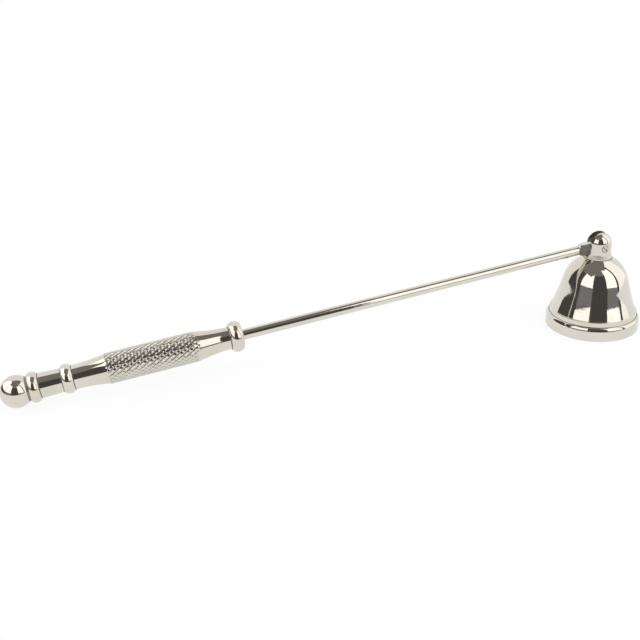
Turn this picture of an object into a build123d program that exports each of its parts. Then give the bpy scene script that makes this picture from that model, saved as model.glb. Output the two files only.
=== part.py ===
from build123d import *
import math
import os

# A candle snuffer: a turned handle with a long rod, and a bell that swings from a pin in a slotted knob.
# Millimetres. Z is up, the bell's axis is Z and its mouth lies on z = 0. The handle lies along -X, and
# slopes down from the pin until its end ball touches the surface that the bell stands on.

# Bell: a spun cup with a plain raised collar above the band
bell_height = 31.6
bell_wall = 1.0
crown_margin = 0.15
crown_fall_angle = 30
shoulder_radius = 12.65
shoulder_height = 25.0
waist_radius = 14.95
waist_height = 17.8
lip_radius = 18.12
lip_flare_angle = 69
collar_radius = 18.7
collar_top_radius = 18.5
collar_height = 2.2
collar_round = 0.3
skirt_radius = 18.3
skirt_gap = 0.5

# Rim band: a ring round the mouth, with a rounded shoulder above a plain wall
mouth_radius = 20.0
band_height = 6.2
band_wall_height = 3.5
band_top_radius = 18.65
band_foot_round = 0.4

# Knob: a slotted dome on a flared foot, with a stud through the bell's crown
foot_radius = 5.95
foot_lip_height = 0.5
foot_lip_step = 0.15
foot_flare_angle = 11
knob_waist_radius = 5.25
knob_waist_rise = 4.3
pin_rise = 5.1
dome_rise = 6.1
dome_radius = 5.3
slot_width = 3.0
slot_floor_rise = 0.7
stud_radius = 2.0
stud_end = 0.8

# Washer and nut inside the crown
washer_radius = 4.4
washer_thickness = 0.8
nut_across_flats = 7.0
nut_height = 3.2
nut_chamfer = 0.35

# Hinge screw across the knob
screw_radius = 1.0
screw_head_radius = 1.4
screw_head_height = 1.3
screw_head_inset = 0.15
screw_end_inset = 0.3
driver_slot_width = 0.4
driver_slot_depth = 0.5
driver_slot_angle = 40

# Rod: round and a little thicker towards the grip, with a knuckle milled flat on both sides as the tongue
rod_radius = 2.0
rod_end_radius = 2.2
rod_reach = 158.4
rod_seat_depth = 30.0
tongue_radius = 2.8
knuckle_reach = 7.8
cheek_end_radius = 2.6

# Grip: turned in one piece, from the end ball's seat to the rod
land_radius = 4.9
land_length = 0.5
neck_radius = 4.72
neck_end_radius = 5.0
neck_length = 8.6
end_ring_radius = 6.1
end_ring_width = 4.3
middle_ring_radius = 5.9
middle_ring_width = 4.3
ring_root_radius = 4.6
flare_radius = 5.93
flare_end_radius = 4.88
flare_length = 13.1
flare_angle = 10
barrel_radius = 6.13
barrel_length = 36.6
barrel_chamfer = 0.2
barrel_lead = 2.6
taper_start_radius = 5.86
taper_end_radius = 4.53
taper_length = 12.5
taper_angle = 10
front_ring_radius = 6.33
front_ring_width = 5.3
front_ring_root_radius = 4.35
grip_bore_end = 1.5

# End ball, screwed into the grip
ball_radius = 6.43
ball_flat_radius = 5.0
ball_stud_radius = 1.5
ball_stud_length = 8.0

# Clearances, and the overrun of every cut
running_clearance = 0.05
thread_clearance = 0.03
side_clearance = 0.1
bore_clearance = 0.1
overrun = 1.0

# Heights that follow from the sizes above
pin_height = bell_height + pin_rise
dome_height = bell_height + dome_rise
slot_floor_height = bell_height + slot_floor_rise
crown_inner_height = bell_height - bell_wall
crown_radius = foot_radius + crown_margin
lip_height = band_height + collar_height
tongue_thickness = slot_width - 2 * side_clearance

# Stations along the handle, as distances from the pin
front_ring_start = rod_reach
taper_end = front_ring_start + front_ring_width
barrel_front = taper_end + taper_length
barrel_back = barrel_front + barrel_length
flare_end = barrel_back + flare_length
middle_ring_end = flare_end + middle_ring_width
neck_end = middle_ring_end + neck_length
end_ring_end = neck_end + end_ring_width
grip_end = end_ring_end + land_length
ball_reach = grip_end + math.sqrt(ball_radius**2 - ball_flat_radius**2)
handle_drop = math.degrees(math.asin((pin_height - ball_radius) / ball_reach))


def slope(angle):
    """A direction that starts level, outwards, and turns down through an angle."""
    return (math.cos(math.radians(angle)), -math.sin(math.radians(angle)))


def turned(outline, axis=Axis.Z):
    """The solid that a closed outline in the XZ plane sweeps round an axis."""
    return revolve(Plane.XZ * make_face(outline), axis)


def side_line():
    """The outside of the bell from the knob's seat to the collar, as radius and height."""
    return Spline(
        (crown_radius, bell_height),
        (shoulder_radius, shoulder_height),
        (waist_radius, waist_height),
        (lip_radius, lip_height),
        tangents=(slope(crown_fall_angle), slope(lip_flare_angle)),
    )


def inner_side_points():
    """Points one wall inside the outside of the bell."""
    line = side_line()
    shares = (0, 0.2, 0.4, 0.7, 1)
    points = []
    for share in shares:
        tangent = line % share
        inward = Vector(tangent.Y, -tangent.X) * bell_wall
        points.append((line @ share) + inward)
    return points


def bell():
    """The cup: crown, side, collar, and the plain skirt that the band sits on."""
    side = side_line()
    collar_top = EllipticalCenterArc(
        (lip_radius, lip_height - collar_round),
        collar_top_radius - lip_radius,
        collar_round,
        start_angle=0,
        arc_size=90,
    )
    skirt_inner = skirt_radius - bell_wall
    hollow = Spline(inner_side_points())
    hole_radius = stud_radius + bore_clearance
    rim = Polyline(
        collar_top @ 0,
        (collar_radius, band_height),
        (skirt_radius, band_height),
        (skirt_radius, skirt_gap),
        (skirt_inner, skirt_gap),
        (skirt_inner, (hollow @ 1).Y),
        hollow @ 1,
    )
    crown = Polyline(
        hollow @ 0,
        (hole_radius, crown_inner_height),
        (hole_radius, bell_height),
        (crown_radius, bell_height),
    )
    return turned([side, collar_top, rim, hollow, crown])


def rim_band():
    """The ring that fits over the skirt, up to the collar."""
    bore = skirt_radius + running_clearance
    wall = Polyline(
        (band_top_radius, band_height),
        (bore, band_height),
        (bore, 0),
        (mouth_radius - band_foot_round, 0),
        (mouth_radius, band_foot_round),
        (mouth_radius, band_wall_height),
    )
    shoulder = EllipticalCenterArc(
        (band_top_radius, band_wall_height),
        mouth_radius - band_top_radius,
        band_height - band_wall_height,
        start_angle=0,
        arc_size=90,
    )
    return turned([wall, shoulder])


def knob_blank():
    """The turned knob before it is slotted: stud, foot, waist and dome."""
    stud_bottom = crown_inner_height - washer_thickness - nut_height - stud_end
    lip_top = bell_height + foot_lip_height
    base = Polyline(
        (0, dome_height + dome_radius),
        (0, stud_bottom),
        (stud_radius, stud_bottom),
        (stud_radius, bell_height),
        (foot_radius, bell_height),
        (foot_radius, lip_top),
        (foot_radius - foot_lip_step, lip_top),
    )
    flare = math.radians(foot_flare_angle)
    side = Spline(
        base @ 1,
        (knob_waist_radius, bell_height + knob_waist_rise),
        (dome_radius, dome_height),
        tangents=((-math.sin(flare), math.cos(flare)), (0, 1)),
    )
    dome = CenterArc((0, dome_height), dome_radius, start_angle=0, arc_size=90)
    return turned([base, side, dome])


def across(radius, start, end):
    """A cylinder along Y at the pin's height, from start to end."""
    length = end - start
    middle = (start + end) / 2
    return Pos(0, middle, pin_height) * Rot(90, 0, 0) * Cylinder(radius, length)


def knob():
    """The clevis: two ears with the tongue's slot between them, and the screw's holes."""
    slot_top = dome_height + dome_radius + overrun
    slot_height = slot_top - slot_floor_height
    slot_length = 2 * (foot_radius + overrun)
    slot = Pos(0, 0, slot_floor_height) * Box(
        slot_length, slot_width, slot_height, align=(Align.CENTER, Align.CENTER, Align.MIN)
    )
    outside = dome_radius + overrun
    head_seat = -(dome_radius - screw_head_inset - screw_head_height)
    hole = across(screw_radius + thread_clearance, -outside, outside)
    recess = across(screw_head_radius + bore_clearance, -outside, head_seat)
    return knob_blank() - slot - hole - recess


def hinge_screw():
    """The pin that the bell swings on, with a slotted head in the near ear."""
    face = -(dome_radius - screw_head_inset)
    head_seat = face + screw_head_height
    head = across(screw_head_radius, face, head_seat)
    shank = across(screw_radius, head_seat, dome_radius - screw_end_inset)
    slot = Pos(0, face, pin_height) * Rot(0, driver_slot_angle, 0) * Box(
        2 * screw_head_radius + overrun, 2 * driver_slot_depth, driver_slot_width
    )
    return head + shank - slot


def crown_washer():
    """The washer under the crown."""
    top = crown_inner_height
    blank = Cylinder(washer_radius, washer_thickness, align=(Align.CENTER, Align.CENTER, Align.MAX))
    hole = Cylinder(stud_radius + bore_clearance, 2 * washer_thickness + overrun)
    return Pos(0, 0, top) * (blank - hole)


def crown_nut():
    """The hexagonal nut that draws the knob down on the crown."""
    top = crown_inner_height - washer_thickness
    corner_radius = nut_across_flats / math.sqrt(3)
    blank = extrude(RegularPolygon(corner_radius, 6), -nut_height)
    turned_blank = Cylinder(corner_radius, nut_height, align=(Align.CENTER, Align.CENTER, Align.MAX))
    turned_blank = chamfer(turned_blank.edges().filter_by(GeomType.CIRCLE), nut_chamfer)
    hole = Cylinder(stud_radius + thread_clearance, 2 * nut_height + overrun)
    return Pos(0, 0, top) * ((blank & turned_blank) - hole)


def on_handle(shape):
    """Moves a shape from the level handle, with the pin at its origin, to its place at rest."""
    return Pos(0, 0, pin_height) * Rot(0, -handle_drop, 0) * shape


def rod():
    """The rod, with its knuckle and tongue round the pin and its tail in the grip."""
    tail = rod_reach + rod_seat_depth
    turn = math.degrees(math.acos(rod_radius / tongue_radius))
    knuckle = CenterArc((-knuckle_reach, 0), tongue_radius, start_angle=90, arc_size=turn)
    front = Polyline((tongue_radius, 0), (tongue_radius, tongue_radius), knuckle @ 0)
    shaft = Polyline(
        knuckle @ 1,
        (-rod_reach, rod_end_radius),
        (-tail, rod_end_radius),
        (-tail, 0),
        (tongue_radius, 0),
    )
    bar = turned([front, knuckle, shaft], Axis.X)
    side = 2 * tongue_radius
    eye = Rot(90, 0, 0) * Cylinder(tongue_radius, side)
    past_eye = Pos(-tail / 2, 0, 0) * Box(tail + overrun, side, side)
    bar = bar & (eye + past_eye)
    for turn in (1, -1):
        bar = bar - cheek_cut(turn)
    hole = Rot(90, 0, 0) * Cylinder(screw_radius + running_clearance, side)
    return on_handle(bar - hole)


def cheek_cut(turn):
    """What a round-ended cutter takes off one side of the tongue."""
    depth = tongue_radius
    reach = tongue_radius + overrun
    block = Pos((reach - knuckle_reach) / 2, 0, 0) * Box(knuckle_reach + reach, depth, 2 * reach)
    end = Pos(-knuckle_reach, 0, 0) * Rot(90, 0, 0) * Cylinder(cheek_end_radius, depth)
    return Pos(0, turn * (tongue_thickness + depth) / 2, 0) * (block + end)


def ring(start, end, root, crest):
    """Half an ellipse over a turned ring, from its far side to its near side."""
    return EllipticalCenterArc(
        (-(start + end) / 2, root), (end - start) / 2, crest - root, start_angle=0, arc_size=180
    )


def grip():
    """The turned handle: three rings, a flare, the gripping barrel and a long taper."""
    front_ring = ring(front_ring_start, taper_end, front_ring_root_radius, front_ring_radius)
    middle_ring = ring(flare_end, middle_ring_end, ring_root_radius, middle_ring_radius)
    end_ring = ring(neck_end, end_ring_end, ring_root_radius, end_ring_radius)
    taper = Spline(
        (-taper_end, taper_end_radius),
        (-barrel_front, taper_start_radius),
        tangents=(slope(180), slope(180 + taper_angle)),
    )
    flare = Spline(
        (-barrel_back, flare_radius),
        (-flare_end, flare_end_radius),
        tangents=(slope(180 - flare_angle), slope(180)),
    )
    front = Polyline((-front_ring_start, 0), (-front_ring_start, front_ring_root_radius))
    after_front = Line((-taper_end, front_ring_root_radius), (-taper_end, taper_end_radius))
    barrel = Polyline(
        (-barrel_front, taper_start_radius),
        (-barrel_front - barrel_lead, barrel_radius),
        (-barrel_back + barrel_chamfer, barrel_radius),
        (-barrel_back, flare_radius),
    )
    before_middle = Line((-flare_end, flare_end_radius), (-flare_end, ring_root_radius))
    neck = Polyline(
        (-middle_ring_end, ring_root_radius),
        (-middle_ring_end, neck_radius),
        (-neck_end, neck_end_radius),
        (-neck_end, ring_root_radius),
    )
    back = Polyline(
        (-end_ring_end, ring_root_radius),
        (-end_ring_end, land_radius),
        (-grip_end, land_radius),
        (-grip_end, 0),
        (-front_ring_start, 0),
    )
    fore = [front, front_ring, after_front, taper, barrel]
    outline = fore + [flare, before_middle, middle_ring, neck, end_ring, back]
    return on_handle(turned(outline, Axis.X) - rod_bore() - stud_bore())


def rod_bore():
    """The blind hole for the rod's tail."""
    depth = rod_seat_depth + overrun
    middle = rod_reach - overrun + depth / 2
    return Pos(-middle, 0, 0) * Rot(0, 90, 0) * Cylinder(rod_end_radius + thread_clearance, depth)


def stud_bore():
    """The blind hole for the end ball's stud."""
    depth = ball_stud_length + grip_bore_end
    middle = grip_end - depth / 2
    return Pos(-middle, 0, 0) * Rot(0, 90, 0) * Cylinder(ball_stud_radius + thread_clearance, depth)


def end_ball():
    """The ball with its flat against the grip, and its stud."""
    ball = Pos(-ball_reach, 0, 0) * Sphere(ball_radius)
    behind = Pos(-grip_end, 0, 0) * Box(
        2 * ball_radius, 2 * ball_radius, 2 * ball_radius, align=(Align.MAX, Align.CENTER, Align.CENTER)
    )
    stud_middle = grip_end - ball_stud_length / 2
    stud = Pos(-stud_middle, 0, 0) * Rot(0, 90, 0) * Cylinder(ball_stud_radius, ball_stud_length)
    return on_handle((ball & behind) + stud)


parts = {
    "bell": bell,
    "rim_band": rim_band,
    "knob": knob,
    "crown_washer": crown_washer,
    "crown_nut": crown_nut,
    "hinge_screw": hinge_screw,
    "rod": rod,
    "grip": grip,
    "end_ball": end_ball,
}

os.makedirs("parts", exist_ok=True)
for name, make in parts.items():
    export_step(make(), f"parts/{name}.step")
print("The handle slopes down by", round(handle_drop, 3), "degrees")
print("The ball is", round(ball_reach, 2), "mm from the pin")
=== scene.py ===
"""The looks of a candle snuffer: polished nickel, a knurled grip in place of the plain one, and a room."""

import math

import bmesh
import bpy
from mathutils import Matrix, Vector


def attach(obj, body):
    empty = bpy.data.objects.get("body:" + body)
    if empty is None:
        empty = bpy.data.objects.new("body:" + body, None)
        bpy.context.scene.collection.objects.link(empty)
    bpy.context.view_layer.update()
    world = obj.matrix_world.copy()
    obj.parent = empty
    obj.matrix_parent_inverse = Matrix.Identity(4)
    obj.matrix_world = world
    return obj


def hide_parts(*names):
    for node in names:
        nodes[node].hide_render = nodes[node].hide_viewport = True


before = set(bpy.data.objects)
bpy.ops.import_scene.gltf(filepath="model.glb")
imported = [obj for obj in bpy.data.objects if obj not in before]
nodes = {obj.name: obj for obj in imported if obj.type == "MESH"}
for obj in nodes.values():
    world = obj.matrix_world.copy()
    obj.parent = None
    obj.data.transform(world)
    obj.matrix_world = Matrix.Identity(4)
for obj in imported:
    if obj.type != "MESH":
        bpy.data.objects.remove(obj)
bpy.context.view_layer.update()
scene = bpy.context.scene

MM = 0.001

# The handle's frame: x runs from the pin away from the grip, and the handle slopes down from the pin
pin_height = 36.7 * MM
handle_drop = math.radians(7.021)
handle_frame = Matrix.Translation((0, 0, pin_height)) @ Matrix.Rotation(-handle_drop, 4, "Y")

# The grip's outline, as distances from the pin and radii, in millimetres
rod_bore_radius = 2.23
rod_bore_end = 188.4
front_ring_start = 158.4
front_ring_width = 5.3
front_ring_root = 4.35
front_ring_crest = 6.33
taper_length = 12.5
taper_thin_radius = 4.53
taper_thick_radius = 5.86
taper_slope = math.tan(math.radians(10))
barrel_length = 36.6
barrel_radius = 6.13
barrel_chamfer = 0.2
barrel_lead = 2.6
flare_length = 13.1
flare_radius = 5.93
flare_end_radius = 4.88
flare_slope = math.tan(math.radians(10))
neck_radius = 4.72
neck_end_radius = 5.0
ring_root = 4.6
middle_ring_width = 4.3
middle_ring_crest = 5.9
neck_length = 8.6
end_ring_width = 4.3
end_ring_crest = 6.1
land_radius = 4.9
land_length = 0.5
stud_bore_radius = 1.53
stud_bore_length = 9.5

taper_start = front_ring_start + front_ring_width
barrel_start = taper_start + taper_length
barrel_end = barrel_start + barrel_length
flare_end = barrel_end + flare_length
middle_ring_end = flare_end + middle_ring_width
neck_end = middle_ring_end + neck_length
end_ring_end = neck_end + end_ring_width
grip_end = end_ring_end + land_length
ball_distance = 247.64 * MM

# The knurl: two crossing families of V grooves, with flat-topped diamonds between them
grooves_one = 19
grooves_two = 22
pitch_one = 2.36
pitch_two = 2.98
steps_per_groove = 5
groove_depth = 0.105
lead_depth_share = 0.35

# The new grip's mesh: columns once round it, and the angle from which an edge stays sharp
segments = 96
sharp_angle = math.radians(18)

# Where the bell's and the band's finishes change: heights and distances from their axis, in millimetres
crown_top = 31.2
crown_underside = 30
crown_crease_radius = 6.2
collar_foot = 6.3
collar_root_radius = 18.2
collar_crest_radius = 18.5
soot_start = 4
soot_end = 27
band_top = 6.1
band_crease_radius = 18.9
band_scuff_height = 0.35

# Where the knob's finish changes: heights, and distances from its middle or from the pin, in millimetres
slot_half_width = 1.51
slot_floor = 32.25
slot_shade_top = 33.6
recess_radius = 1.56
recess_side = -3
knob_foot_low = 31.5
knob_foot_edge = 31.7
knob_foot_top = 33

# Where the screw's and the rod's finishes change, in millimetres from the pin and from the handle's middle
screw_edge_radius = 1.32
screw_slot_side = -4.95
cheek_inside = 1.39
cheek_outside = 1.41
cheek_end = 10.42
cheek_round_middle = 7.85
cheek_round_radius = 2.6

# Where the grip's and the ball's finishes change, in millimetres
joint_margin = 0.2
crease_half_width = 0.16
crease_reach = 5.1
rod_crease_reach = 2.5
crest_reach = 5.75
flat_depth = 0.03
ball_gap = 0.08
ball_scuff_radius = 2.2

# How a noise is squeezed or drawn out along each axis, which gives its marks their direction
round_bell = (1, 1, 12)
round_handle = (12, 1, 1)
scratch_stretch = (1, 1, 0.04)
soot_stretch = (1, 1, 0.5)
scuff_stretch = (1, 1, 6)

# Camera, in the studio's frame: x to the right, y away from the camera, z up
studio_turn = math.radians(-15.441)
studio = Matrix.Rotation(studio_turn, 4, "Z")
camera_place = Vector((-0.12041, -0.40292, 0.18513))
camera_pitch = math.radians(24.17)
camera_roll = math.radians(-1.21)
focal_pixels = 997.535
frame_pixels = 640
sensor_width = 36
nearest_shown = 0.01

# Studio: angles across (0 is towards the camera, 90 to the right) and up, from the middle of the object
studio_middle = Vector((-0.12, -0.03, 0.015))
window_distance = 3.6
window_radiance = 1.42
left_start, left_facing, left_end, left_top = -66, -44, -22, 60
right_start, right_end = 28, 66

# The room's patches, in degrees: behind, it is open up to where the dome starts
room_radius = 20.0
room_across = [-120, -110, -100, -90, -80, -66, -44, -22, -10, 3, 16, 28, 40, 52, 66, 73, 80, 90, 100, 110]
room_across += list(range(120, 241, 15))
room_up = [0, 6, 12, 20, 30, 40, 50, 60, 73, 80, 90]
open_start = 120
grey_top = 12
gap_top = 50
right_wall_start = 73
dome_start = 73
room_colours = {
    "dark": (0.075, 0.07, 0.067, 1),
    "grey": (0.22, 0.22, 0.235, 1),
    "ceiling": (0.215, 0.205, 0.19, 1),
    "bright": (1.18, 1.18, 1.18, 1),
    "white": (1.4, 1.4, 1.4, 1),
    "side": (1.34, 1.35, 1.34, 1),
}

# Two dark panels overhead, seen from above: the hood in millimetres along the part's axes
hood_height = 330 * MM
hood_corners = [(-260, -190), (-260, 105), (-60, 105), (-60, -41), (-110, -60), (-130, -190)]
# The strip, in metres along the studio's axes
strip_height = 10
strip_corners = [(3.94, -7.41), (3.94, 2.5), (-8, 2.5), (-3.14, -7.78)]

# Floor and white surroundings: how clear the floor is where it is seen, and the level of the soft light
floor_half = 6
floor_level = -0.05 * MM
floor_colour = (0.9, 0.9, 0.9, 1)
floor_clear_share = 0.9
soft_world_level = 0.86

# Colours of the metals, of what settles on them, and of painted shade
nickel_light = (0.71, 0.672, 0.6, 1)
nickel_deep = (0.665, 0.623, 0.548, 1)
nickel_satin = (0.5, 0.47, 0.41, 1)
steel_light = (0.54, 0.52, 0.475, 1)
steel_deep = (0.47, 0.45, 0.405, 1)
worn_brass = (0.7, 0.6, 0.42, 1)
# A dark dull colour of painted shade, for the knob's slot and the rod's mill-cut cheeks
milled_painted_shade = (0.19, 0.176, 0.152, 1)
# A dark colour of painted shade, for creases, joints and the knurl's grooves
painted_shade_dark = (0.05, 0.045, 0.038, 1)
soot = (0.022, 0.02, 0.018, 1)


def level_point(distance, radius, turn):
    """A point of the level handle, with the pin at its origin, in millimetres. A turn of 1 is once round."""
    angle = math.tau * turn
    return (-distance, radius * math.cos(angle), radius * math.sin(angle))


def half_ellipse(start, end, root, crest, steps=18):
    """A turned ring's outline, from start to end."""
    middle, half = (start + end) / 2, (end - start) / 2
    turns = [math.pi * i / steps for i in range(steps + 1)]
    return [(middle - half * math.cos(t), root + (crest - root) * math.sin(t)) for t in turns]


def swept(start, end, first, last, first_slope, last_slope, steps=14):
    """A smooth outline between two radii with given slopes at its ends."""
    length = end - start
    points = []
    for i in range(steps + 1):
        t = i / steps
        radius = (
            first * (2 * t**3 - 3 * t**2 + 1)
            + first_slope * length * (t**3 - 2 * t**2 + t)
            + last * (3 * t**2 - 2 * t**3)
            + last_slope * length * (t**3 - t**2)
        )
        points.append((start + length * t, radius))
    return points


def grip_outline():
    """The grip's outline before and after the barrel, as lists of (distance, radius)."""
    before = [(rod_bore_end, 0), (rod_bore_end, rod_bore_radius), (front_ring_start, rod_bore_radius)]
    before += half_ellipse(front_ring_start, taper_start, front_ring_root, front_ring_crest)
    before += swept(taper_start, barrel_start, taper_thin_radius, taper_thick_radius, 0, taper_slope)
    after = swept(barrel_end, flare_end, flare_radius, flare_end_radius, -flare_slope, 0)
    after += half_ellipse(flare_end, middle_ring_end, ring_root, middle_ring_crest)
    after += [(middle_ring_end, neck_radius), (neck_end, neck_end_radius)]
    after += half_ellipse(neck_end, end_ring_end, ring_root, end_ring_crest)
    after += [(end_ring_end, land_radius), (grip_end, land_radius), (grip_end, stud_bore_radius)]
    after += [(grip_end - stud_bore_length, stud_bore_radius), (grip_end - stud_bore_length, 0)]
    return before, after


def turned(bm, outline):
    """Sweeps an outline round the handle. Gives the vertices of its first and last row."""
    rows = []
    for distance, radius in outline:
        columns = segments if radius else 1
        points = [level_point(distance, radius, column / segments) for column in range(columns)]
        rows.append([bm.verts.new(point) for point in points])
    for ring, next_ring in zip(rows, rows[1:]):
        for column in range(segments):
            following = (column + 1) % segments
            corners = [ring[column % len(ring)], ring[following % len(ring)]]
            corners += [next_ring[following % len(next_ring)], next_ring[column % len(next_ring)]]
            bm.faces.new(list(dict.fromkeys(corners)))
    return rows[0], rows[-1]


def barrel_surface(distance):
    """The barrel's outside radius, and how deep its knurl is cut there: both grow from the taper's end."""
    lead = min(1, max(0, distance - barrel_start) / barrel_lead)
    radius = taper_thick_radius + (barrel_radius - taper_thick_radius) * lead
    return radius, groove_depth * (lead_depth_share + (1 - lead_depth_share) * lead)


def knurled(bm, start, end):
    """The barrel's skin on a lattice that follows both families of grooves, cut square at its ends."""
    crossings = grooves_two / pitch_one + grooves_one / pitch_two
    one_round, two_round = steps_per_groove * grooves_one, steps_per_groove * grooves_two
    margin = pitch_two
    lattice = {}
    for i in range(one_round):
        one = i / steps_per_groove
        lowest = ((start - margin) * crossings - grooves_two * one) / grooves_one
        highest = ((end + margin) * crossings - grooves_two * one) / grooves_one
        for j in range(math.ceil(lowest * steps_per_groove), math.floor(highest * steps_per_groove) + 1):
            distance = (grooves_two * one + grooves_one * j / steps_per_groove) / crossings
            turn = (one - distance / pitch_one) / grooves_one
            in_groove = i % steps_per_groove == 0 or j % steps_per_groove == 0
            radius, depth = barrel_surface(distance)
            radius -= depth if in_groove else 0
            lattice[i, j] = bm.verts.new(level_point(distance, radius, turn))

    def corner(i, j):
        """The lattice's vertex at i and j, brought back to the first round."""
        rounds = i // one_round
        return lattice.get((i - rounds * one_round, j + rounds * two_round))

    faces = []
    for i, j in list(lattice):
        corners = [corner(i, j), corner(i + 1, j), corner(i + 1, j + 1), corner(i, j + 1)]
        if None in corners:
            continue
        near_one = (i + 1) % steps_per_groove < 2
        near_two = (j + 1) % steps_per_groove < 2
        if near_one and near_two:
            turn = (i + j) % steps_per_groove % 2
            corners = corners[turn:] + corners[:turn]
            faces.append(bm.faces.new((corners[0], corners[1], corners[2])))
            faces.append(bm.faces.new((corners[0], corners[2], corners[3])))
        else:
            faces.append(bm.faces.new(corners))
    # What is cut, and the edge that is left, stay in order, so that every run gives the same mesh
    for distance, direction in ((start, 1), (end, -1)):
        skin = [thing for face in faces if face.is_valid for thing in (face, *face.edges, *face.verts)]
        skin = list(dict.fromkeys(skin))
        cut = bmesh.ops.bisect_plane(
            bm, geom=skin, plane_co=(-distance, 0, 0), plane_no=(direction, 0, 0), clear_outer=True
        )
        faces = [thing for thing in cut["geom"] if isinstance(thing, bmesh.types.BMFace)]
    loose = [vert for vert in lattice.values() if vert.is_valid and not vert.link_faces]
    bmesh.ops.delete(bm, geom=loose, context="VERTS")
    edge_verts = [vert for face in faces for edge in face.edges if edge.is_boundary for vert in edge.verts]
    edge_verts = list(dict.fromkeys(edge_verts))
    middle = -(start + end) / 2
    return [v for v in edge_verts if v.co.x > middle], [v for v in edge_verts if v.co.x < middle]


def zipped(bm, first, second):
    """Joins two rings of vertices round the handle with triangles."""

    def round_angle(vert):
        """How far round the handle a vertex is."""
        return math.atan2(vert.co.z, vert.co.y) % math.tau

    first, second = sorted(first, key=round_angle), sorted(second, key=round_angle)
    i = j = 0
    while i < len(first) or j < len(second):
        one, other = first[i % len(first)], second[j % len(second)]
        next_one, next_other = first[(i + 1) % len(first)], second[(j + 1) % len(second)]
        one_angle = round_angle(next_one) + (math.tau if i + 1 >= len(first) else 0)
        other_angle = round_angle(next_other) + (math.tau if j + 1 >= len(second) else 0)
        if j >= len(second) or (i < len(first) and one_angle <= other_angle):
            bm.faces.new((one, next_one, other))
            i += 1
        else:
            bm.faces.new((one, next_other, other))
            j += 1


def make_grip():
    """The turned grip with its knurled barrel, as one closed mesh."""
    bm = bmesh.new()
    before, after = grip_outline()
    front = turned(bm, before)[1]
    back = turned(bm, after)[0]
    front_edge, back_edge = knurled(bm, barrel_start + barrel_chamfer, barrel_end - barrel_chamfer)
    zipped(bm, front, front_edge)
    zipped(bm, back, back_edge)
    bmesh.ops.recalc_face_normals(bm, faces=bm.faces)
    bm.transform(handle_frame @ Matrix.Scale(MM, 4))
    mesh = bpy.data.meshes.new("knurled_grip")
    bm.to_mesh(mesh)
    bm.free()
    mesh.shade_smooth()
    mesh.set_sharp_from_angle(angle=sharp_angle)
    piece = bpy.data.objects.new("knurled_grip", mesh)
    scene.collection.objects.link(piece)
    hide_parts("grip")
    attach(piece, "handle")
    return piece


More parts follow.
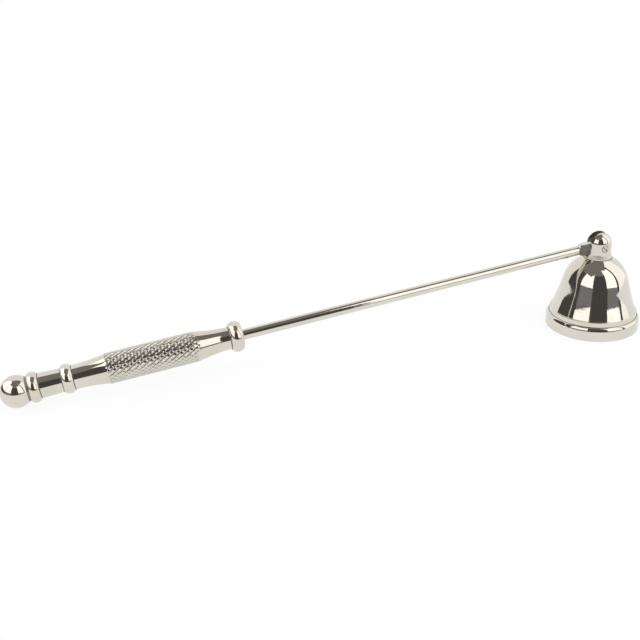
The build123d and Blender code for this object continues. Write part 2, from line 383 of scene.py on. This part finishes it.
class Finish:
    """A metal's look, built up in layers: its colour, roughness, share of metal and surface relief."""

    def __init__(self, name, on_handle=False):
        self.material = bpy.data.materials.new(name)
        self.material.use_nodes = True
        self.tree = self.material.node_tree
        self.shader = self.tree.nodes["Principled BSDF"]
        self.on_handle = on_handle
        self.metal = 1
        self.relief = None

    def add(self, kind, **settings):
        """A new node with some of its settings."""
        node = self.tree.nodes.new(kind)
        for key, value in settings.items():
            setattr(node, key, value)
        return node

    def feed(self, socket, value):
        """Joins a socket to another node's output, or sets it to a plain value."""
        if isinstance(value, bpy.types.NodeSocket):
            self.tree.links.new(value, socket)
        else:
            socket.default_value = value

    def math(self, operation, *values):
        """The result of one sum on numbers and outputs."""
        node = self.add("ShaderNodeMath", operation=operation)
        for socket, value in zip(node.inputs, values):
            self.feed(socket, value)
        return node.outputs[0]

    def place(self, stretch=(1, 1, 1)):
        """Metres along the part's axes, or the level handle's, stretched. They stay with the piece."""
        coordinate = self.add("ShaderNodeTexCoord").outputs["Object"]
        if self.on_handle:
            level = self.add("ShaderNodeMapping", vector_type="TEXTURE")
            level.inputs["Location"].default_value = (0, 0, pin_height)
            level.inputs["Rotation"].default_value = (0, -handle_drop, 0)
            self.feed(level.inputs["Vector"], coordinate)
            coordinate = level.outputs[0]
        scale = self.add("ShaderNodeMapping")
        scale.inputs["Scale"].default_value = stretch
        self.feed(scale.inputs["Vector"], coordinate)
        return scale.outputs[0]

    def axes(self):
        """The three coordinates, in metres."""
        node = self.add("ShaderNodeSeparateXYZ")
        self.feed(node.inputs[0], self.place())
        return node.outputs[0], node.outputs[1], node.outputs[2]

    def length(self, first, second):
        """The distance that two coordinates make together."""
        squares = self.math("MULTIPLY", first, first), self.math("MULTIPLY", second, second)
        return self.math("SQRT", self.math("ADD", *squares))

    def noise(self, place, scale, detail=3, roughness=0.5):
        """A cloudy pattern from 0 to 1."""
        node = self.add("ShaderNodeTexNoise")
        self.feed(node.inputs["Vector"], place)
        node.inputs["Scale"].default_value = scale
        node.inputs["Detail"].default_value = detail
        node.inputs["Roughness"].default_value = roughness
        return node.outputs["Fac"]

    def spread(self, value, low, high, to_low=0, to_high=1):
        """A value that goes smoothly from one level to another between two edges."""
        node = self.add("ShaderNodeMapRange", interpolation_type="SMOOTHSTEP")
        names = ("Value", "From Min", "From Max", "To Min", "To Max")
        for name, setting in zip(names, (value, low, high, to_low, to_high)):
            self.feed(node.inputs[name], setting)
        return node.outputs[0]

    def above(self, value, edge, soft=0.02):
        """1 where a length is above an edge and 0 below it. The edge and its softness are in millimetres."""
        return self.spread(value, (edge - soft) * MM, (edge + soft) * MM)

    def below(self, value, edge, soft=0.02):
        """1 where a length is below an edge and 0 above it, likewise."""
        return self.spread(value, (edge - soft) * MM, (edge + soft) * MM, 1, 0)

    def both(self, *masks):
        """1 where every mask is 1."""
        share = masks[0]
        for mask in masks[1:]:
            share = self.math("MULTIPLY", share, mask)
        return share

    def mix(self, share, first, second):
        """A colour between two others, by a share from 0 to 1."""
        node = self.add("ShaderNodeMix", data_type="RGBA")
        self.feed(node.inputs["Factor"], share)
        self.feed(node.inputs[6], first)
        self.feed(node.inputs[7], second)
        return node.outputs[2]

    def blend(self, share, first, second):
        """A number between two others, by a share from 0 to 1."""
        node = self.add("ShaderNodeMix", data_type="FLOAT")
        self.feed(node.inputs["Factor"], share)
        self.feed(node.inputs[2], first)
        self.feed(node.inputs[3], second)
        return node.outputs[0]

    def cover(self, share, colour, roughness, metal=None):
        """Another look over this one, where a share is above 0."""
        self.colour = self.mix(share, self.colour, colour)
        self.roughness = self.blend(share, self.roughness, roughness)
        if metal is not None:
            self.metal = self.blend(share, self.metal, metal)

    def bump(self, height, strength, distance):
        """Fine relief over what is there already."""
        node = self.add("ShaderNodeBump")
        node.inputs["Strength"].default_value = strength
        node.inputs["Distance"].default_value = distance
        self.feed(node.inputs["Height"], height)
        if self.relief is not None:
            self.feed(node.inputs["Normal"], self.relief)
        self.relief = node.outputs[0]

    def finished(self):
        """The material, with every layer joined to its shader."""
        self.feed(self.shader.inputs["Base Color"], self.colour)
        self.feed(self.shader.inputs["Roughness"], self.roughness)
        self.feed(self.shader.inputs["Metallic"], self.metal)
        self.feed(self.shader.inputs["Normal"], self.relief)
        return self.material


def polished(name, on_handle=False, lines=(1, 1, 1), light=nickel_light, deep=nickel_deep, dull=0.025):
    """Polished nickel: slow tone changes, faint smears, buffing lines, fine scratches and a slight wave."""
    finish = Finish(name, on_handle)
    place = finish.place()
    tone = finish.spread(finish.noise(place, scale=55), low=0.3, high=0.7)
    finish.colour = finish.mix(tone, light, deep)
    smear = finish.spread(finish.noise(place, scale=140, detail=5), low=0.45, high=0.75)
    line = finish.noise(finish.place(lines), scale=2500, detail=2)
    fine = finish.noise(finish.place(scratch_stretch), scale=5200, detail=1)
    scratch = finish.spread(fine, low=0.66, high=0.72)
    finish.roughness = dull
    for mark, extra in ((smear, 0.05), (line, 0.03), (scratch, 0.1)):
        finish.roughness = finish.math("MULTIPLY_ADD", mark, extra, finish.roughness)
    finish.bump(finish.noise(place, scale=260, detail=1), strength=0.1, distance=0.2 * MM)
    finish.bump(line, strength=0.05, distance=0.01 * MM)
    return finish


def painted_crease_shade(finish, share):
    """Painted shade that darkens a crease or joint, uneven along it."""
    cloud = finish.noise(finish.place(), scale=700)
    patchy = finish.spread(cloud, low=0.25, high=0.6, to_low=0.45, to_high=0.95)
    finish.cover(finish.both(share, patchy), painted_shade_dark, roughness=0.5, metal=0.5)


def rubbed(finish, share):
    """Brass that shows faintly where the plate is rubbed thin."""
    cloud = finish.noise(finish.place(), scale=320, detail=5)
    patchy = finish.spread(cloud, low=0.45, high=0.7, to_high=0.5)
    finish.cover(finish.both(share, patchy), worn_brass, roughness=0.12)


def bell_finish():
    """Polished outside with a line of painted shade round the knob's foot and another under the collar, and
    satin with soot inside.
    """
    finish = polished("nickel_bell", lines=round_bell)
    x, y, z = finish.axes()
    reach = finish.length(x, y)
    painted_crease_shade(finish, finish.both(finish.below(reach, crown_crease_radius, 0.1), finish.above(z, crown_top)))
    painted_crease_shade(finish, finish.both(finish.below(z, collar_foot, 0.06), finish.above(reach, collar_root_radius)))
    on_crest = finish.above(reach, collar_crest_radius, 0.1)
    rubbed(finish, finish.both(on_crest, finish.above(z, collar_foot, 0.1)))
    normal = finish.add("ShaderNodeSeparateXYZ")
    finish.feed(normal.inputs[0], finish.add("ShaderNodeTexCoord").outputs["Normal"])
    outward = finish.math("MULTIPLY", normal.outputs[1], y)
    outward = finish.math("MULTIPLY_ADD", normal.outputs[0], x, outward)
    inside = finish.spread(outward, low=-0.6 * MM, high=0, to_low=1, to_high=0)
    downward = finish.spread(normal.outputs[2], low=-0.6, high=-0.4, to_low=1, to_high=0)
    inside = finish.math("MAXIMUM", inside, finish.both(downward, finish.above(z, crown_underside)))
    finish.cover(inside, nickel_satin, roughness=0.32)
    cloud = finish.noise(finish.place(soot_stretch), scale=130, detail=6, roughness=0.6)
    height = finish.spread(z, low=soot_start * MM, high=soot_end * MM)
    stain = finish.spread(finish.math("MULTIPLY_ADD", height, 0.3, cloud), low=0.45, high=0.95, to_high=0.85)
    finish.cover(finish.both(inside, stain), soot, roughness=0.75, metal=0.25)
    return finish.finished()


def band_finish():
    """Polished, with a line of painted shade under the collar and scuffs where it stands on tables."""
    finish = polished("nickel_band", lines=round_bell)
    x, y, z = finish.axes()
    on_top = finish.above(z, band_top)
    painted_crease_shade(finish, finish.both(on_top, finish.below(finish.length(x, y), band_crease_radius)))
    foot = finish.below(z, band_scuff_height, 0.3)
    rubbed(finish, foot)
    cloud = finish.noise(finish.place(scuff_stretch), scale=900, detail=4)
    scuff = finish.spread(cloud, low=0.5, high=0.7, to_high=0.8)
    finish.cover(finish.both(foot, scuff), nickel_deep, roughness=0.4)
    return finish.finished()


def knob_finish():
    """Polished outside, dull and painted dark as shade in the slot, dull at the foot, and with painted shade
    round the screw and below the foot.
    """
    finish = polished("nickel_knob", lines=round_bell)
    x, y, z = finish.axes()
    between_ears = finish.below(finish.math("ABSOLUTE", y), slot_half_width)
    slot = finish.both(between_ears, finish.above(z, slot_floor))
    # Painted shade between the ears on a duller surface, and more of it near the slot's floor
    finish.cover(slot, milled_painted_shade, roughness=0.42)
    painted_crease_shade(finish, finish.both(slot, finish.below(z, slot_shade_top, 1.2)))
    from_pin = finish.length(x, finish.math("SUBTRACT", z, pin_height))
    painted_crease_shade(finish, finish.both(finish.below(from_pin, recess_radius, 0.05), finish.below(y, recess_side)))
    painted_crease_shade(finish, finish.both(finish.below(z, knob_foot_edge, 0.06), finish.above(z, knob_foot_low)))
    foot = finish.both(finish.above(z, knob_foot_edge), finish.below(z, knob_foot_top, 1.1))
    finish.cover(foot, nickel_light, roughness=0.45)
    finish.cover(finish.below(z, crown_top), nickel_deep, roughness=0.3)
    return finish.finished()


def rod_finish():
    """Polished, with dull mill-cut cheeks on the tongue painted dark as shade, and painted shade where it
    enters the grip.
    """
    finish = polished("nickel_rod", on_handle=True, lines=round_handle)
    x, y, z = finish.axes()
    off_side = finish.math("ABSOLUTE", y)
    cheek = finish.above(off_side, cheek_inside, 0.004)
    cheek = finish.both(cheek, finish.below(off_side, cheek_outside, 0.004), finish.above(x, -cheek_end))
    from_middle = finish.length(finish.math("ADD", x, cheek_round_middle * MM), z)
    rounded = finish.below(from_middle, cheek_round_radius, 0.08)
    rounded = finish.math("MAXIMUM", rounded, finish.above(x, -cheek_round_middle, 0.05))
    # The cheeks: duller, and painted dark as shade
    finish.cover(finish.both(cheek, rounded), milled_painted_shade, roughness=0.45)
    painted_crease_shade(finish, finish.below(x, -front_ring_start + joint_margin, 0.15))
    return finish.finished()


def grip_finish():
    """Polished, with painted shade in the knurl's grooves and the creases, and the rings' crests rubbed."""
    finish = polished("nickel_grip", on_handle=True, lines=round_handle)
    x, y, z = finish.axes()
    reach = finish.length(y, z)
    past_start = finish.below(x, -barrel_start - joint_margin)
    on_barrel = finish.both(past_start, finish.above(x, -barrel_end + joint_margin))
    lead_end = barrel_start + barrel_lead
    crest = finish.spread(x, -lead_end * MM, -barrel_start * MM, barrel_radius * MM, taper_thick_radius * MM)
    depth = finish.math("SUBTRACT", crest, reach)
    groove = finish.both(on_barrel, finish.above(depth, 0.6 * groove_depth, 0.3 * groove_depth))
    # Painted shade in the knurl's grooves, uneven
    cloud = finish.noise(finish.place(), scale=400, detail=4)
    patchy = finish.spread(cloud, low=0.35, high=0.7, to_low=0.3, to_high=0.6)
    finish.cover(finish.both(groove, patchy), painted_shade_dark, roughness=0.4)
    flat = finish.both(on_barrel, finish.below(depth, flat_depth, 0.02))
    finish.cover(flat, nickel_deep, roughness=0.14)
    creases = 0
    for station in (taper_start, flare_end, middle_ring_end, neck_end):
        off = finish.math("ABSOLUTE", finish.math("ADD", x, station * MM))
        crease = finish.below(off, crease_half_width, 0.06)
        crease = finish.both(crease, finish.below(reach, crease_reach, 0.1))
        creases = finish.math("MAXIMUM", creases, crease)
    on_front = finish.above(x, -front_ring_start - joint_margin)
    round_rod = finish.both(on_front, finish.below(reach, rod_crease_reach, 0.3))
    painted_crease_shade(finish, finish.math("MAXIMUM", creases, round_rod))
    painted_crease_shade(finish, finish.math("MULTIPLY", finish.below(x, -end_ring_end, 0.05), 0.7))
    on_crest = finish.above(reach, crest_reach, 0.1)
    rubbed(finish, finish.both(on_crest, finish.math("SUBTRACT", 1, on_barrel)))
    return finish.finished()


def ball_finish():
    """Polished, scuffed where it rests on the table, and with painted shade beside the grip."""
    finish = polished("nickel_ball", on_handle=True, lines=round_handle)
    x, y, z = finish.axes()
    painted_crease_shade(finish, finish.math("MULTIPLY", finish.above(x, -grip_end - ball_gap, 0.08), 0.7))
    foot = finish.below(finish.length(y, finish.math("ADD", x, ball_distance)), ball_scuff_radius, 1.2)
    scuff = finish.spread(finish.noise(finish.place(), scale=1500, detail=4), low=0.45, high=0.7, to_high=0.8)
    finish.cover(finish.both(foot, finish.below(z, 0), scuff), nickel_deep, roughness=0.35)
    return finish.finished()


def screw_finish():
    """A small turned screw, a little duller than the knob, with painted shade in its driver slot and at its
    edge.
    """
    finish = polished("fastener_screw", light=nickel_deep, deep=steel_light, dull=0.12)
    x, y, z = finish.axes()
    from_pin = finish.length(x, finish.math("SUBTRACT", z, pin_height))
    edge = finish.above(from_pin, screw_edge_radius, 0.05)
    in_slot = finish.above(y, screw_slot_side, 0.12)
    painted_crease_shade(finish, finish.math("MAXIMUM", edge, finish.math("MULTIPLY", in_slot, 0.55)))
    return finish.finished()


def inner_finish(name):
    """A satin nut or washer under the crown, darkened by soot."""
    finish = polished(name, light=steel_light, deep=steel_deep, dull=0.28)
    cloud = finish.noise(finish.place(), scale=260, detail=5)
    stain = finish.spread(cloud, low=0.35, high=0.75, to_low=0.1, to_high=0.7)
    finish.cover(stain, soot, roughness=0.7, metal=0.3)
    return finish.finished()


def wear(node_name, material):
    """Puts a material on a node of the frame."""
    for material_slot in nodes[node_name].material_slots:
        material_slot.material = material


def studio_point(across, up, distance):
    """A point in the part's frame, seen across and up from the middle of the object."""
    across, up = math.radians(across), math.radians(up)
    reach = Vector((math.sin(across) * math.cos(up), -math.cos(across) * math.cos(up), math.sin(up)))
    return studio @ (studio_middle + reach * distance)


def window(name, start, end, low, high, facing):
    """An upright soft light between two angles across. Low and high are its angles up at its nearest."""
    facing = math.radians(facing)
    first = window_distance * math.tan(math.radians(start) - facing)
    last = window_distance * math.tan(math.radians(end) - facing)
    width = last - first
    bottom = window_distance * math.tan(math.radians(low))
    top = window_distance * math.tan(math.radians(high))
    lamp = bpy.data.lights.new(name, "AREA")
    lamp.shape = "RECTANGLE"
    lamp.size = width
    lamp.size_y = top - bottom
    lamp.energy = window_radiance * math.pi * width * (top - bottom)
    middle = Vector(((first + last) / 2, -window_distance, (bottom + top) / 2))
    place = Matrix.Rotation(facing, 4, "Z") @ middle
    turn = Matrix.Rotation(facing, 4, "Z") @ Matrix.Rotation(math.pi / 2, 4, "X")
    light = bpy.data.objects.new(name, lamp)
    light.matrix_world = studio @ Matrix.Translation(studio_middle + place) @ turn
    light.visible_camera = False
    scene.collection.objects.link(light)
    return light


def light_only(light, pieces):
    """Keeps a light to some pieces, so that no other piece catches or mirrors it."""
    group = bpy.data.collections.new(light.name + "_lights")
    for piece in pieces:
        group.objects.link(piece)
    light.light_linking.receiver_collection = group


def stage_mesh(name, points, faces, materials):
    """A mesh that belongs to the studio, not to the object."""
    mesh = bpy.data.meshes.new(name)
    mesh.from_pydata(points, [], faces)
    for material in materials:
        mesh.materials.append(material)
    thing = bpy.data.objects.new(name, mesh)
    scene.collection.objects.link(thing)
    return thing


def glow(name, colour):
    """A plain surface of the room, at one brightness."""
    material = bpy.data.materials.new(name)
    material.use_nodes = True
    shader = material.node_tree.nodes["Principled BSDF"]
    shader.inputs["Base Color"].default_value = (0, 0, 0, 1)
    shader.inputs["Specular IOR Level"].default_value = 0
    shader.inputs["Emission Color"].default_value = colour
    shader.inputs["Emission Strength"].default_value = 1
    return material


def room_region(across, up):
    """The colour of the room's patch that starts at these angles."""
    in_gap = left_end <= across < right_start
    if (in_gap and up >= gap_top) or (left_facing <= across < left_end and up >= left_top):
        return "ceiling"
    if up >= dome_start and right_start <= across < right_wall_start:
        return "white"
    if across >= right_wall_start:
        return "side"
    if up >= dome_start or (across < left_facing and up >= gap_top):
        return "bright"
    if in_gap or up >= grey_top or across < left_start or across >= right_end:
        return "dark"
    return "grey"


def make_room():
    """The studio that the metal mirrors: dark in front, grey below the windows, bright at the sides."""
    materials = {name: glow("room_" + name, colour) for name, colour in room_colours.items()}
    points = [studio_point(across, up, room_radius) for across in room_across for up in room_up]
    faces, regions = [], []
    for i, across in enumerate(room_across[:-1]):
        for j, up in enumerate(room_up[:-1]):
            if across >= open_start and up < dome_start:
                continue
            corner = i * len(room_up) + j
            faces.append((corner, corner + len(room_up), corner + len(room_up) + 1, corner + 1))
            regions.append(room_region(across, up))
    room = stage_mesh("room", points, faces, materials.values())
    for polygon, region in zip(room.data.polygons, regions):
        polygon.material_index = list(materials).index(region)
    hood_points = [(x * MM, y * MM, hood_height) for x, y in hood_corners]
    hood = stage_mesh("hood", hood_points, [(0, 1, 2, 3, 4, 5)], (materials["ceiling"],))
    strip_points = [studio @ Vector((x, y, strip_height)) for x, y in strip_corners]
    strip = stage_mesh("strip", strip_points, [(0, 1, 2, 3)], (materials["ceiling"],))
    for thing in (room, hood, strip):
        thing.visible_camera = False
        thing.visible_diffuse = False
        thing.visible_shadow = False


def shown_rays(tree):
    """1 for what the camera sees directly, in a mirror or through glass, and 0 for soft light."""
    path = tree.nodes.new("ShaderNodeLightPath")
    total = path.outputs["Is Camera Ray"]
    for name in ("Is Glossy Ray", "Is Transmission Ray"):
        add = tree.nodes.new("ShaderNodeMath")
        add.operation = "ADD"
        add.use_clamp = True
        tree.links.new(total, add.inputs[0])
        tree.links.new(path.outputs[name], add.inputs[1])
        total = add.outputs[0]
    return total


def make_floor():
    """A pale floor that keeps a soft shadow: nearly clear where it is seen, and quite clear from below."""
    material = bpy.data.materials.new("pale_floor")
    material.use_nodes = True
    tree = material.node_tree
    tree.nodes.clear()
    diffuse = tree.nodes.new("ShaderNodeBsdfDiffuse")
    diffuse.inputs["Color"].default_value = floor_colour
    clear = tree.nodes.new("ShaderNodeBsdfTransparent")
    share = tree.nodes.new("ShaderNodeMath")
    share.operation = "MULTIPLY"
    share.inputs[1].default_value = floor_clear_share
    tree.links.new(shown_rays(tree), share.inputs[0])
    lit = tree.nodes.new("ShaderNodeMixShader")
    tree.links.new(share.outputs[0], lit.inputs[0])
    tree.links.new(diffuse.outputs[0], lit.inputs[1])
    tree.links.new(clear.outputs[0], lit.inputs[2])
    side = tree.nodes.new("ShaderNodeNewGeometry")
    whole = tree.nodes.new("ShaderNodeMixShader")
    tree.links.new(side.outputs["Backfacing"], whole.inputs[0])
    tree.links.new(lit.outputs[0], whole.inputs[1])
    tree.links.new(clear.outputs[0], whole.inputs[2])
    output = tree.nodes.new("ShaderNodeOutputMaterial")
    tree.links.new(whole.outputs[0], output.inputs["Surface"])
    signs = ((-1, -1), (1, -1), (1, 1), (-1, 1))
    corners = [(x * floor_half, y * floor_half, floor_level) for x, y in signs]
    stage_mesh("floor", corners, [(0, 1, 2, 3)], (material,))


def make_world():
    """White all round for the camera and for mirrors, and a softer level for the floor's light."""
    world = bpy.data.worlds.new("studio")
    world.use_nodes = True
    tree = world.node_tree
    background = tree.nodes["Background"]
    background.inputs["Color"].default_value = (1, 1, 1, 1)
    level = tree.nodes.new("ShaderNodeMapRange")
    level.inputs["To Min"].default_value = soft_world_level
    level.inputs["To Max"].default_value = 1
    tree.links.new(shown_rays(tree), level.inputs["Value"])
    tree.links.new(level.outputs[0], background.inputs["Strength"])
    scene.world = world


def make_camera():
    """The camera that the photograph's outline was fitted with."""
    data = bpy.data.cameras.new("camera")
    data.sensor_width = sensor_width
    data.lens = focal_pixels / frame_pixels * sensor_width
    data.clip_start = nearest_shown
    camera = bpy.data.objects.new("camera", data)
    tilt = Matrix.Rotation(math.pi / 2 - camera_pitch, 4, "X") @ Matrix.Rotation(camera_roll, 4, "Z")
    camera.matrix_world = studio @ Matrix.Translation(camera_place) @ tilt
    scene.collection.objects.link(camera)
    scene.camera = camera


make_camera()
make_world()
make_room()
make_floor()
window("window_left", left_start, left_end, low=14, high=left_top, facing=left_facing)
window("window_right", right_start, right_end, low=13, high=75.8, facing=0)
near_left = window("window_near_left", start=-120, end=-68, low=14, high=74, facing=-94)

wear("bell", bell_finish())
wear("rim_band", band_finish())
wear("knob", knob_finish())
wear("rod", rod_finish())
wear("end_ball", ball_finish())
wear("hinge_screw", screw_finish())
for name in ("crown_washer", "crown_nut"):
    wear(name, inner_finish("fastener_" + name))
knurled_grip = make_grip()
knurled_grip.data.materials.append(grip_finish())
light_only(near_left, [nodes["rod"], nodes["end_ball"], knurled_grip])

scene.view_settings.view_transform = "Standard"
